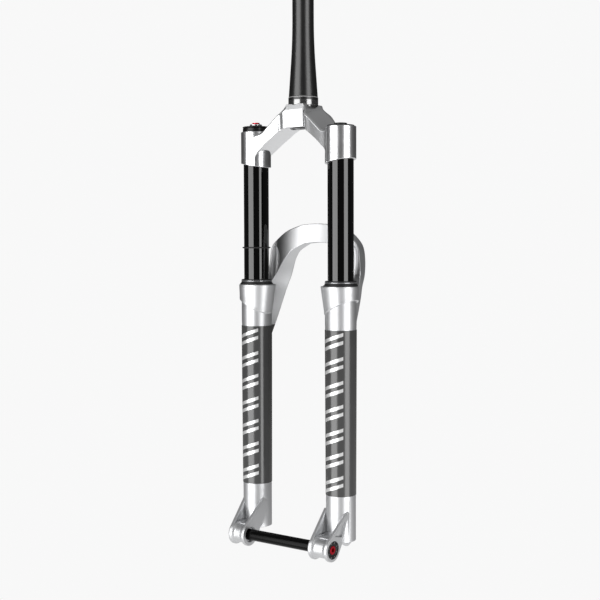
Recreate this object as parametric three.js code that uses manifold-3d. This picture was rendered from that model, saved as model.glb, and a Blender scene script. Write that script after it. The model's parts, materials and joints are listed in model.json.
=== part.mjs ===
// Suspension fork for a mountain bike: tapered steerer, two stanchions in a crown,
// and a one-piece lower casting with a rear arch and forward dropouts.
// Millimetres. +Z runs up the steerer, -Y is the direction of travel, +X is the rider's left.
// The origin is on the steerer axis at the shoulder that carries the headset's crown race.
import * as THREE from 'three';
import { mergeVertices } from 'three/addons/utils/BufferGeometryUtils.js';
import Module from 'manifold-3d';

const wasm = await Module();
wasm.setup();

// Facets round a turned piece: large tubes, middle-sized pieces, small pieces.
const LARGE = 24;
const MIDDLE = 16;
const SMALL = 12;
const GAP = 0.3; // between two pieces that touch

// Driving dimensions.
const LEG_X = 70; // half of the distance between the stanchions
const LEG_Y = -14; // the stanchions stand this far ahead of the steerer
const STEERER_TOP = 255;
const STEERER_R = 14.3; // 28.6 mm, 1 1/8 inch
const SEAT_R = 19.9; // 39.8 mm crown race seat
const SEAT_TOP = 10;
const SEAT_SINK = 1.5; // the race seat stands this deep in the crown
const TAPER_TOP = 78;
const NECK_R = 17.5; // the steerer inside the crown
const CROWN_UNDER = -31;
const SOCKET_TOP = -30;
const SOCKET_R = 20.3;
const SOCKET_BOTTOM = -78.5; // at the middle of the slanted rim
const SOCKET_SLANT = 3.5; // the rim is this much lower inboard, and higher outboard
const STANCHION_R = 17;
const STANCHION_BORE = 15.3;
const STANCHION_BOTTOM = -388;
const RIM_Z = -240; // top of the legs
const RIM_R = 24;
const COLLAR_Z = -268; // where the flared collar meets the leg
const LEG_TOP_R = 20.4;
const LEG_LOW_R = 19.6;
const LEG_BOTTOM = -573;
const PANEL_TOP = -296.5;
const PANEL_BOTTOM = -512.7;
const BUSHING_BORE = 18.5;
const LOWER_BORE = 17.7;
const BORE_STEP = -400;
const FOOT_FLOOR = -548; // inside the leg
const FOOT_POCKET = -558; // roof of the pocket under the leg
const FOOT_POCKET_R = 10.5;
const AXLE_Y = -50.65;
const AXLE_Z = -577.5;
const AXLE_R = 7.5;
const HUB_X = 55; // half of a 110 mm hub
const DROPOUT_X = 53.5; // inner face of a dropout
const BOSS_R = 15.6;
const SHAFT_R = 5;
const POST_ANGLE = 24; // degrees, of the brake posts above the horizontal
const POST_REACH = 76; // from the axle to the faces of the brake posts
const POST_SPACING = 74.2;
const POST_X = 51;

const FINISHES = {
  castSilver: { color: 0xc4c6c9, roughness: 0.28, metalness: 1.0 },
  crownSilver: { color: 0xcfd1d3, roughness: 0.22, metalness: 1.0 },
  satinBlack: { color: 0x1b1b1d, roughness: 0.45, metalness: 0.6 },
  glossBlack: { color: 0x070708, roughness: 0.08, metalness: 0.4 },
  darkPanel: { color: 0x3c3e40, roughness: 0.4, metalness: 0.2 },
  rubber: { color: 0x101010, roughness: 0.8, metalness: 0.0 },
  foam: { color: 0x3a3a3c, roughness: 1.0, metalness: 0.0 },
  red: { color: 0xb3121c, roughness: 0.3, metalness: 0.8 },
  steel: { color: 0x9a9da1, roughness: 0.35, metalness: 1.0 },
  brass: { color: 0xb08d3f, roughness: 0.35, metalness: 1.0 },
  plastic: { color: 0xd8d5cb, roughness: 0.55, metalness: 0.0 },
};

const fork = new THREE.Group();

// ---------------------------------------------------------------- solids and meshes

// A closed geometry with shared corners, and without faces that have no area.
function closed(geometry) {
  const bare = geometry.index ? geometry.toNonIndexed() : geometry.clone();
  bare.deleteAttribute('normal');
  bare.deleteAttribute('uv');
  const merged = mergeVertices(bare, 1e-4);
  const index = merged.index.array;
  const kept = [];
  for (let i = 0; i < index.length; i += 3) {
    const [a, b, c] = [index[i], index[i + 1], index[i + 2]];
    if (a !== b && b !== c && c !== a) kept.push(a, b, c);
  }
  merged.setIndex(kept);
  return merged;
}

// Reverses the faces of a closed geometry if they point inwards.
function outward(geometry) {
  const position = geometry.attributes.position;
  const index = geometry.index.array;
  const [a, b, c] = [new THREE.Vector3(), new THREE.Vector3(), new THREE.Vector3()];
  let volume = 0;
  for (let i = 0; i < index.length; i += 3) {
    a.fromBufferAttribute(position, index[i]);
    b.fromBufferAttribute(position, index[i + 1]);
    c.fromBufferAttribute(position, index[i + 2]);
    volume += a.dot(b.cross(c));
  }
  if (volume < 0) geometry.setIndex(Array.from(index).reverse());
  return geometry;
}

function solid(geometry) {
  const merged = outward(closed(geometry));
  const vertProperties = new Float32Array(merged.attributes.position.array);
  const triVerts = new Uint32Array(merged.index.array);
  return new wasm.Manifold(new wasm.Mesh({ numProp: 3, vertProperties, triVerts }));
}

function geometryOf(manifold) {
  const mesh = manifold.getMesh();
  const geometry = new THREE.BufferGeometry();
  geometry.setAttribute('position', new THREE.BufferAttribute(mesh.vertProperties, 3));
  geometry.setIndex(new THREE.BufferAttribute(mesh.triVerts, 1));
  return geometry;
}

// Joins the first solid with the next ones, then cuts the others out of it.
function carve(joined, cuts = []) {
  let body = joined[0];
  for (const more of joined.slice(1)) body = body.add(more);
  for (const cut of cuts) body = body.subtract(cut);
  return geometryOf(body);
}

function add(name, geometry, finish, x = 0, y = 0) {
  const mesh = new THREE.Mesh(geometry, new THREE.MeshStandardMaterial(FINISHES[finish]));
  mesh.name = name;
  mesh.position.set(x, y, 0);
  fork.add(mesh);
  return mesh;
}

// Turns a closed outline of [radius, height] points about Z.
function turned(outline, segments = MIDDLE) {
  const points = outline.map(([r, z]) => new THREE.Vector2(r, z));
  if (outline[0][0] > 0) points.push(points[0].clone());
  return outward(closed(new THREE.LatheGeometry(points, segments).rotateX(Math.PI / 2)));
}

function rod(radius, low, high, segments = MIDDLE) {
  return turned([[0, low], [radius, low], [radius, high], [0, high]], segments);
}

function tube(outer, inner, low, high, segments = MIDDLE) {
  return turned([[outer, low], [outer, high], [inner, high], [inner, low]], segments);
}

// Turns a piece made about Z so that its axis lies along X.
function alongX(geometry) {
  return geometry.rotateY(Math.PI / 2);
}

function placed(geometry, x, y, z = 0) {
  return solid(geometry.translate(x, y, z));
}

// Mirrors a solid across the plane between the legs.
function otherSide(manifold) {
  return manifold.mirror([1, 0, 0]);
}

// A plate with an outline in the YZ plane, between two distances from the middle plane.
function plateX(outline, fromX, toX) {
  const shape = new THREE.Shape(outline.map(([y, z]) => new THREE.Vector2(y, z)));
  const geometry = new THREE.ExtrudeGeometry(shape, { depth: toX - fromX, bevelEnabled: false });
  const basis = new THREE.Matrix4().makeBasis(
    new THREE.Vector3(0, 1, 0),
    new THREE.Vector3(0, 0, 1),
    new THREE.Vector3(1, 0, 0),
  );
  return geometry.applyMatrix4(basis).translate(fromX, 0, 0);
}

// A closed skin through rings of equally many points, with a flat cap on each end.
function lofted(rings) {
  const count = rings[0].length;
  const points = rings.flat();
  const faces = [];
  for (let ring = 0; ring + 1 < rings.length; ring += 1) {
    for (let i = 0; i < count; i += 1) {
      const a = ring * count + i;
      const b = ring * count + ((i + 1) % count);
      faces.push(a, b, b + count, a, b + count, a + count);
    }
  }
  const last = (rings.length - 1) * count;
  for (let i = 1; i + 1 < count; i += 1) {
    faces.push(0, i + 1, i, last, last + i, last + i + 1);
  }
  const geometry = new THREE.BufferGeometry();
  geometry.setAttribute('position', new THREE.Float32BufferAttribute(points.flat(), 3));
  geometry.setIndex(faces);
  return geometry;
}

// Cuts each corner of a ring back along both of its sides.
function chamfered(corners, cut) {
  const ring = [];
  corners.forEach((corner, i) => {
    const here = new THREE.Vector3(...corner);
    const before = new THREE.Vector3(...corners[(i + corners.length - 1) % corners.length]);
    const after = new THREE.Vector3(...corners[(i + 1) % corners.length]);
    for (const end of [before, after]) {
      const step = Math.min(cut, here.distanceTo(end) / 3);
      ring.push(here.clone().lerp(end, step / here.distanceTo(end)).toArray());
    }
  });
  return ring;
}

// ---------------------------------------------------------------- upper assembly

function steerer() {
  return turned([
    [NECK_R, CROWN_UNDER + 1],
    [NECK_R, GAP - SEAT_SINK],
    [SEAT_R, GAP - SEAT_SINK],
    [SEAT_R, SEAT_TOP],
    [STEERER_R, TAPER_TOP],
    [STEERER_R, STEERER_TOP - 1],
    [STEERER_R - 1, STEERER_TOP],
    [11.8, STEERER_TOP],
    [11.8, TAPER_TOP],
    [15, SEAT_TOP],
    [15, CROWN_UNDER + 1],
  ], LARGE);
}

// Sections of one crown arm, from the middle plane out into the socket.
// Each is the distance from the middle, then [y, z] of the front top chamfer, front top edge,
// front bottom edge, rear bottom edge, rear edge and rear ridge.
const CROWN_SECTIONS = [
  [15, [-19.5, 0], [-21.6, -8], [-21, CROWN_UNDER], [16, CROWN_UNDER], [26.5, -10], [24, 0]],
  [24, [-20.5, -11], [-22.3, -14], [-18, -36], [13, -37], [25, -11], [14, -8]],
  [36, [-22.5, -23], [-24, -25.5], [-20, -46], [8, -48], [20.5, -20], [14, -20]],
  [47, [-24, -34], [-25.6, -36.5], [-24.5, -57], [3, -60], [13, -30], [8, -31]],
  [58, [-24, -38], [-25.6, -40], [-25.6, -70], [-1, -70], [5, -36], [0, -36]],
];

function crownArms() {
  const right = CROWN_SECTIONS.map(([x, ...ring]) => ring.map(([y, z]) => [x, y, z]));
  const left = right.map((ring) => ring.map(([x, y, z]) => [-x, y, z])).reverse();
  return solid(lofted([...left, ...right]));
}

function socket() {
  const low = SOCKET_BOTTOM - SOCKET_SLANT - 1;
  const body = placed(turned([
    [0, low], [SOCKET_R, low], [SOCKET_R, SOCKET_TOP - 1], [SOCKET_R - 1, SOCKET_TOP], [0, SOCKET_TOP],
  ], LARGE), LEG_X, LEG_Y);
  const slope = SOCKET_SLANT / SOCKET_R;
  const half = 30;
  const under = new THREE.BoxGeometry(2 * half, 2 * half, 2 * half);
  under.translate(0, 0, -half).rotateY(-Math.atan(slope)).translate(LEG_X, LEG_Y, SOCKET_BOTTOM);
  return body.subtract(solid(under));
}

function crown() {
  const bore = placed(rod(STANCHION_R + GAP, -100, 0, LARGE), LEG_X, LEG_Y);
  const neck = solid(rod(NECK_R + GAP, -60, 20, LARGE));
  const seat = solid(rod(SEAT_R + GAP, -SEAT_SINK, 20, LARGE));
  const one = socket();
  return carve([crownArms(), one, otherSide(one)], [bore, otherSide(bore), neck, seat]);
}

function topCap(flangeTop, hole) {
  return turned([
    [hole, -48], [14.9, -48], [14.9, -42.3], [13.6, -42.3], [13.6, -39.7], [14.9, -39.7],
    [14.9, SOCKET_TOP + GAP], [18, SOCKET_TOP + GAP],
    [18, flangeTop - 0.6], [17.4, flangeTop], [hole, flangeTop],
  ], LARGE);
}

// A dial with grip scallops round its edge.
function dial(radius, low, high, scallops, depth, hole) {
  const shape = new THREE.Shape();
  const steps = scallops * 4;
  for (let i = 0; i < steps; i += 1) {
    const angle = (i / steps) * 2 * Math.PI;
    const r = radius - depth * (i % 4 === 0 ? 1 : 0);
    const point = [r * Math.cos(angle), r * Math.sin(angle)];
    if (i === 0) shape.moveTo(...point);
    else shape.lineTo(...point);
  }
  const path = new THREE.Path().absarc(0, 0, hole, 0, 2 * Math.PI, true);
  shape.holes.push(path);
  const options = { depth: high - low, bevelEnabled: false, curveSegments: 8 };
  return outward(closed(new THREE.ExtrudeGeometry(shape, options).translate(0, 0, low)));
}

function upperAssembly() {
  add('steerer_tube', steerer(), 'satinBlack');
  add('fork_crown', crown(), 'crownSilver');
  const stanchion = () => tube(STANCHION_R, STANCHION_BORE, STANCHION_BOTTOM, SOCKET_TOP - 0.5, LARGE);
  add('damper_stanchion', stanchion(), 'glossBlack', -LEG_X, LEG_Y);
  add('air_stanchion', stanchion(), 'glossBlack', LEG_X, LEG_Y);
}

// Damper side: the cap with its dials, the fixed compression piston, and the seal head.
function damperUpper() {
  const at = [-LEG_X, LEG_Y];
  add('damper_top_cap', topCap(-28.2, 4.5), 'satinBlack', ...at);
  add('damper_cap_seal', tube(15, 13.9, -42, -40, LARGE), 'rubber', ...at);
  add('compression_dial', dial(18.2, -27.9, -23.3, 12, 0.8, 6.4), 'satinBlack', ...at);
  const stem = carve([solid(rod(6, -27.9, -20.6, SMALL)), solid(rod(2.5, -46, -27.9, SMALL))]);
  add('low_speed_knob', stem, 'red', ...at);
  const rodBody = tube(4.2, 2.8, -148, -48 - GAP, SMALL);
  add('compression_rod', rodBody, 'steel', ...at);
  add('compression_piston', tube(14.9, 4.5, -162, -148 - GAP, LARGE), 'steel', ...at);
}

// Air side: the low cap with its valve, and the spacers that set the air volume.
function airUpper() {
  const at = [LEG_X, LEG_Y];
  add('air_top_cap', topCap(-28.2, 4), 'satinBlack', ...at);
  add('air_cap_seal', tube(15, 13.9, -42, -40, LARGE), 'rubber', ...at);
  add('valve_stem', tube(3.7, 1.4, -50, -27.6, SMALL), 'brass', ...at);
  add('valve_pin', rod(1, -49, -27.2, SMALL), 'steel', ...at);
  const cap = turned([
    [0, -26], [5.2, -26], [5.2, -28], [7.5, -28], [7.5, -25.6], [6.8, -24.9], [0, -24.9],
  ], MIDDLE);
  add('valve_cap', cap, 'satinBlack', ...at);
  add('volume_spacer_upper', tube(13, 4.4, -60.5, -50.5, MIDDLE), 'plastic', ...at);
  add('volume_spacer_lower', tube(13, 4.4, -71, -60.8, MIDDLE), 'plastic', ...at);
}

function sealHeads() {
  for (const [side, x] of [['damper', -LEG_X], ['air', LEG_X]]) {
    const head = turned([
      [SHAFT_R + GAP, -384], [15, -384], [15, -372], [12, -370], [SHAFT_R + GAP, -370],
    ], LARGE);
    add(`${side}_seal_head`, head, 'steel', x, LEG_Y);
    add(`${side}_circlip`, tube(15, 13.2, -386, -384.3, LARGE), 'steel', x, LEG_Y);
  }
}

// ---------------------------------------------------------------- lower casting

function legBody() {
  return placed(turned([
    [0, LEG_BOTTOM],
    [LEG_LOW_R - 1, LEG_BOTTOM],
    [LEG_LOW_R, LEG_BOTTOM + 1],
    [LEG_LOW_R, PANEL_BOTTOM],
    [LEG_TOP_R, PANEL_TOP],
    [LEG_TOP_R + 0.2, COLLAR_Z],
    [RIM_R, RIM_Z - 2],
    [RIM_R - 0.8, RIM_Z],
    [0, RIM_Z],
  ], LARGE), LEG_X, LEG_Y);
}

function legBore() {
  return placed(turned([
    [0, FOOT_FLOOR],
    [8, FOOT_FLOOR],
    [LOWER_BORE, FOOT_FLOOR + 10],
    [LOWER_BORE, BORE_STEP],
    [BUSHING_BORE, BORE_STEP + 2],
    [BUSHING_BORE, -258],
    [19.5, -258],
    [19.5, -248],
    [21.1, -248],
    [21.1, RIM_Z + 2],
    [0, RIM_Z + 2],
  ], LARGE), LEG_X, LEG_Y);
}

function footBore() {
  return placed(turned([
    [0, LEG_BOTTOM - 2],
    [FOOT_POCKET_R, LEG_BOTTOM - 2],
    [FOOT_POCKET_R, FOOT_POCKET],
    [SHAFT_R + GAP, FOOT_POCKET],
    [SHAFT_R + GAP, FOOT_FLOOR + 1],
    [0, FOOT_FLOOR + 1],
  ], MIDDLE), LEG_X, LEG_Y);
}

// Corners of the arch along its length, on the side of the air leg: inner front,
// inner rear, outer rear and outer front. It starts inside the leg as a gusset,
// leans back as it climbs, and meets its mirror image over the wheel.
const ARCH_SECTIONS = [
  [[62, -8, -317], [62, 5, -319], [74, 5, -319], [78, -8, -317]],
  [[61, -4, -287], [59.5, 20, -289], [74, 18, -289], [79, -4, -287]],
  [[60, 0, -258], [55.5, 31, -259], [74, 28, -259], [81, 0, -258]],
  [[65, 8, -241], [54, 36.5, -242], [72.5, 34, -242], [81, 12, -241]],
  [[58, 15.5, -225], [50, 42, -228], [73.5, 38.5, -227], [78, 20, -226]],
  [[51.5, 21, -210], [46.5, 44.5, -211], [73, 41, -208], [75.5, 22, -207]],
  [[45, 23.5, -201], [43, 45.5, -202], [69.5, 42, -190], [72.5, 22.5, -189]],
  [[40, 24.5, -195], [39, 46, -196], [60, 43.5, -178], [62, 24.5, -177]],
  [[33, 26, -190.5], [33, 46.5, -191.5], [46, 44.5, -168], [47, 26.5, -166.5]],
  [[20, 28, -185.5], [20, 47.5, -186], [25, 46, -161], [25, 28.5, -159.5]],
];

function arch() {
  const half = ARCH_SECTIONS.map((ring) => chamfered(ring, 3));
  const other = half.map((ring) => ring.map(([x, y, z]) => [-x, y, z]));
  return solid(lofted([...half, ...other.reverse()]));
}

// A dropout web: a triangle from high on the leg to the boss round the axle.
function dropoutWeb(fromX, toX) {
  const outline = [[-14, -534], [-25, -534]];
  const start = Math.PI * 0.82;
  const end = Math.PI * 1.75;
  const steps = 10;
  for (let i = 0; i <= steps; i += 1) {
    const angle = start + ((end - start) * i) / steps;
    outline.push([AXLE_Y + BOSS_R * Math.cos(angle), AXLE_Z + BOSS_R * Math.sin(angle)]);
  }
  outline.push([-30, LEG_BOTTOM + 4]);
  outline.push([-14, LEG_BOTTOM + 4]);
  return solid(plateX(outline.reverse(), fromX, toX));
}

function dropout(outerX) {
  const drum = placed(alongX(rod(12.5, DROPOUT_X + 1, outerX - 1, MIDDLE)), 0, AXLE_Y, AXLE_Z);
  const gusset = solid(plateX([[-50, -574], [-18, -574], [-18, -556], [-50, -564]], 57, 80));
  return dropoutWeb(DROPOUT_X, 58).add(dropoutWeb(outerX - 5, outerX)).add(drum).add(gusset);
}

// Brake posts: two round posts square to a line from the axle, on a web behind the leg.
function postPoint(reach, along) {
  const angle = THREE.MathUtils.degToRad(POST_ANGLE);
  return [
    AXLE_Y + reach * Math.cos(angle) - along * Math.sin(angle),
    AXLE_Z + reach * Math.sin(angle) + along * Math.cos(angle),
  ];
}

function brakePosts() {
  const half = POST_SPACING / 2;
  const tilt = THREE.MathUtils.degToRad(POST_ANGLE - 90);
  const posts = [];
  const holes = [];
  for (const along of [-half, half]) {
    const turn = (geometry) => geometry.rotateX(tilt);
    posts.push(placed(turn(rod(8, -14, 0, SMALL)), POST_X, ...postPoint(POST_REACH, along)));
    holes.push(placed(turn(rod(2.6, -11, 1, SMALL)), POST_X, ...postPoint(POST_REACH, along)));
  }
  const web = solid(plateX([
    [LEG_Y, -492],
    [LEG_Y, -570],
    postPoint(POST_REACH - 12, -half - 6),
    postPoint(POST_REACH - 3, -half - 5),
    postPoint(POST_REACH - 3, -half + 5),
    postPoint(POST_REACH - 14, -half + 12),
    postPoint(POST_REACH - 16, 0),
    postPoint(POST_REACH - 14, half - 12),
    postPoint(POST_REACH - 3, half - 5),
    postPoint(POST_REACH - 3, half + 5),
  ], POST_X - 4.5, POST_X + 5.5));
  return { joined: [web, ...posts], holes };
}

function axleCuts() {
  const at = [0, AXLE_Y, AXLE_Z];
  return [
    placed(alongX(rod(AXLE_R + GAP, 40, 90, MIDDLE)), ...at),
    placed(alongX(rod(10.7, 50, HUB_X, MIDDLE)), ...at),
    placed(alongX(rod(10.7, -HUB_X, -50, MIDDLE)), ...at),
    placed(alongX(rod(11.8, 79.8, 90, MIDDLE)), ...at),
    placed(alongX(rod(9.8, -90, -40, MIDDLE)), ...at),
  ];
}

function casting() {
  const leg = legBody();
  const bore = legBore();
  const foot = footBore();
  const posts = brakePosts();
  return carve(
    [leg, otherSide(leg), arch(), dropout(83), otherSide(dropout(79.5)), ...posts.joined],
    [bore, otherSide(bore), foot, otherSide(foot), ...axleCuts(), ...posts.holes],
  );
}

// A thin sleeve round the leg, open behind where the gusset of the arch comes down.
function legPanel() {
  const sleeve = solid(turned([
    [LEG_LOW_R + 0.2, PANEL_BOTTOM],
    [LEG_LOW_R + 0.6, PANEL_BOTTOM],
    [LEG_TOP_R + 0.6, PANEL_TOP],
    [LEG_TOP_R + 0.2, PANEL_TOP],
  ], LARGE));
  const gussetRoom = new THREE.BoxGeometry(24, 30, 60).translate(0, 24, -292);
  const postRoom = new THREE.BoxGeometry(14, 60, 60).translate(-17.5, 20, -516);
  const plain = carve([sleeve], [solid(gussetRoom)]);
  const notched = carve([sleeve], [solid(gussetRoom), solid(postRoom)]);
  return { damper: plain, air: notched };
}

function wiper() {
  return turned([
    [17.2, -234.2], [17.8, -239], [17.2, -246], [20.8, -247.7], [20.8, RIM_Z + GAP],
    [19.2, RIM_Z + 0.8], [19, -236.2], [18.2, -235.9], [18.2, -233.9], [18.8, -233.6], [17.5, -233.2],
  ], LARGE);
}

function ring(radius, thickness, z, segments = LARGE, sides = 6) {
  const outline = [];
  for (let i = 0; i < sides; i += 1) {
    const angle = (i / sides) * 2 * Math.PI;
    outline.push([radius + thickness * Math.cos(angle), z + thickness * Math.sin(angle)]);
  }
  return turned(outline, segments);
}

function legFittings() {
  const panels = legPanel();
  for (const [side, x] of [['damper', -LEG_X], ['air', LEG_X]]) {
    const at = [x, LEG_Y];
    add(`${side}_wiper`, wiper(), 'rubber', ...at);
    add(`${side}_wiper_spring`, ring(19, 0.45, -234.9), 'steel', ...at);
    add(`${side}_foam_ring`, tube(19.2, 17.3, -257.5, -248.3, LARGE), 'foam', ...at);
    add(`${side}_upper_bushing`, tube(18.2, 17.3, -280, -260, LARGE), 'steel', ...at);
    add(`${side}_lower_bushing`, tube(18.2, 17.3, -378, -358, LARGE), 'steel', ...at);
    add(`${side}_leg_panel`, panels[side], 'darkPanel', ...at);
    add(`${side}_crush_washer`, tube(9.5, 5.3, -559.9, -558.3, SMALL), 'steel', ...at);
  }
}

// Pieces that run in the damper stanchion and are fastened to the foot of its leg.
function damperLower() {
  const at = [-LEG_X, LEG_Y];
  const shaft = turned([
    [2.4, -557.8], [SHAFT_R, -557.8], [SHAFT_R, FOOT_FLOOR + GAP], [SHAFT_R, -345], [2.4, -345],
  ], SMALL);
  add('damper_shaft', shaft, 'steel', ...at);
  add('rebound_piston', turned([
    [SHAFT_R + GAP, -352], [14.3, -352], [14.3, -340], [3, -340], [3, -344.6], [SHAFT_R + GAP, -344.6],
  ], MIDDLE), 'steel', ...at);
  add('rebound_glide_ring', tube(15.0, 14.6, -349, -343, MIDDLE), 'plastic', ...at);
  add('damper_foot_nut', tube(8, 4.2, -566, -560.2, 6), 'steel', ...at);
  const knob = carve([solid(rod(8.5, -572.8, -566.4, 12)), solid(rod(1.9, -566.5, -360, 8))]);
  add('rebound_knob', knob, 'red', ...at);
}

// Pieces that run in the air stanchion and are fastened to the foot of its leg.
function airLower() {
  const at = [LEG_X, LEG_Y];
  add('air_shaft', tube(SHAFT_R, 3.2, -557.8, -345, SMALL), 'steel', ...at);
  add('air_piston', turned([
    [SHAFT_R + GAP, -354], [14.3, -354], [14.3, -338], [0, -338], [0, -344.6], [SHAFT_R + GAP, -344.6],
  ], MIDDLE), 'steel', ...at);
  add('air_piston_seal', tube(15.0, 14.6, -348, -344, MIDDLE), 'rubber', ...at);
  add('top_out_bumper', tube(9, SHAFT_R + GAP, -366, -355, SMALL), 'rubber', ...at);
  add('bottom_out_bumper', tube(7.6, SHAFT_R + GAP, FOOT_FLOOR + GAP, -536, SMALL), 'rubber', ...at);
  const bolt = carve(
    [solid(rod(7.5, -568, -560.2, SMALL)), solid(rod(3, -560.3, -546, SMALL))],
    [solid(rod(3, -570, -563, 6))],
  );
  add('air_foot_bolt', bolt, 'steel', ...at);
}

// ---------------------------------------------------------------- axle

function axle() {
  const at = [0, AXLE_Y, AXLE_Z];
  const onAxle = (name, geometry, finish) => {
    const mesh = add(name, alongX(geometry), finish, at[0], at[1]);
    mesh.position.z = at[2];
  };
  onAxle('axle_insert', tube(9.5, AXLE_R + GAP, -79, -56.2, MIDDLE), 'steel');
  onAxle('thru_axle', tube(AXLE_R, 4.6, -78.5, 79.6, MIDDLE), 'glossBlack');
  onAxle('axle_head', tube(11.4, 5.9, 80.1, 82.6, MIDDLE), 'satinBlack');
  const bolt = carve(
    [solid(rod(5.5, 80.2, 82.9, SMALL)), solid(rod(4.2, 60, 80.3, SMALL))],
    [solid(rod(3.2, 77, 84, 6))],
  );
  onAxle('axle_bolt', bolt, 'red');
}

function travelRing() {
  const ringZ = -187;
  add('travel_ring', ring(STANCHION_R + GAP + 1, 0.95, ringZ), 'rubber', -LEG_X, LEG_Y);
}

upperAssembly();
damperUpper();
airUpper();
sealHeads();
travelRing();
add('lower_casting', casting(), 'castSilver');
legFittings();
damperLower();
airLower();
axle();

export default fork;
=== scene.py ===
"""Looks of a mountain bike suspension fork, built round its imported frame.

The fork stands with its steerer along +Z. The direction of travel is -Y, and +X is the rider's
left. Sizes are in millimetres in the classes below, and become metres where a piece is made.
"""

import json
import logging
import math
from collections.abc import Callable, Iterable, Sequence
from dataclasses import dataclass
from enum import Enum
from typing import Any

import bmesh
import bpy
from mathutils import Matrix, Vector


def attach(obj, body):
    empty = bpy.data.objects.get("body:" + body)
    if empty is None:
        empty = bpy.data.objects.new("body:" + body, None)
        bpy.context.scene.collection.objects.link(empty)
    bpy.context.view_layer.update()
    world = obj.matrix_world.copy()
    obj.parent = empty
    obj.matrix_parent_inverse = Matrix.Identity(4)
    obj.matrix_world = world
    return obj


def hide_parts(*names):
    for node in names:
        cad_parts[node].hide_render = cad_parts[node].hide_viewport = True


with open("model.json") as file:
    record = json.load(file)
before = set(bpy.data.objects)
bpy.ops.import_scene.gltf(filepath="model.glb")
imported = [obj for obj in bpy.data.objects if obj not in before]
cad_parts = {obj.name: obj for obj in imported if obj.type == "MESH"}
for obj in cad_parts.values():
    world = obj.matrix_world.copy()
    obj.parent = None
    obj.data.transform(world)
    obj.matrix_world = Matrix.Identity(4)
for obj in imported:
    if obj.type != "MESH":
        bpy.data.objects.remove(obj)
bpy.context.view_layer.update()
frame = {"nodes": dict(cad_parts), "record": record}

MM = 0.001
FULL_TURN = 2 * math.pi
LOG = logging.getLogger("fork")

Pair = tuple[float, float]
Triple = tuple[float, float, float]
Corner = tuple[float, float, float]
Colour = tuple[float, float, float, float]


class Side(Enum):
    """The two legs, by what runs in them."""

    DAMPER = -1
    AIR = 1


class Join(Enum):
    """How one solid meets another."""

    ADD = "UNION"
    CUT = "DIFFERENCE"


# ------------------------------------------------------------------ shader graphs


class Wire:
    """A socket's value, on which Python's operators add Math nodes."""

    def __init__(self, graph: "Graph", socket: bpy.types.NodeSocket) -> None:
        """Args:
            graph: the graph that the socket is in.
            socket: the output socket.
        """
        self.graph = graph
        self.socket = socket

    def __add__(self, other: "Value") -> "Wire":
        """Sum."""
        return self.graph.math("ADD", self, other)

    def __sub__(self, other: "Value") -> "Wire":
        """Difference."""
        return self.graph.math("SUBTRACT", self, other)

    def __rsub__(self, other: "Value") -> "Wire":
        """Difference from a number."""
        return self.graph.math("SUBTRACT", other, self)

    def __mul__(self, other: "Value") -> "Wire":
        """Product."""
        return self.graph.math("MULTIPLY", self, other)

    def __truediv__(self, other: "Value") -> "Wire":
        """Quotient."""
        return self.graph.math("DIVIDE", self, other)

    def __gt__(self, other: "Value") -> "Wire":
        """1 where it is above the other, 0 elsewhere."""
        return self.graph.math("GREATER_THAN", self, other)

    def __lt__(self, other: "Value") -> "Wire":
        """1 where it is below the other, 0 elsewhere."""
        return self.graph.math("LESS_THAN", self, other)

    def __abs__(self) -> "Wire":
        """Size without its sign."""
        return self.graph.math("ABSOLUTE", self)

    __radd__ = __add__
    __rmul__ = __mul__


Value = float | Wire


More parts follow.
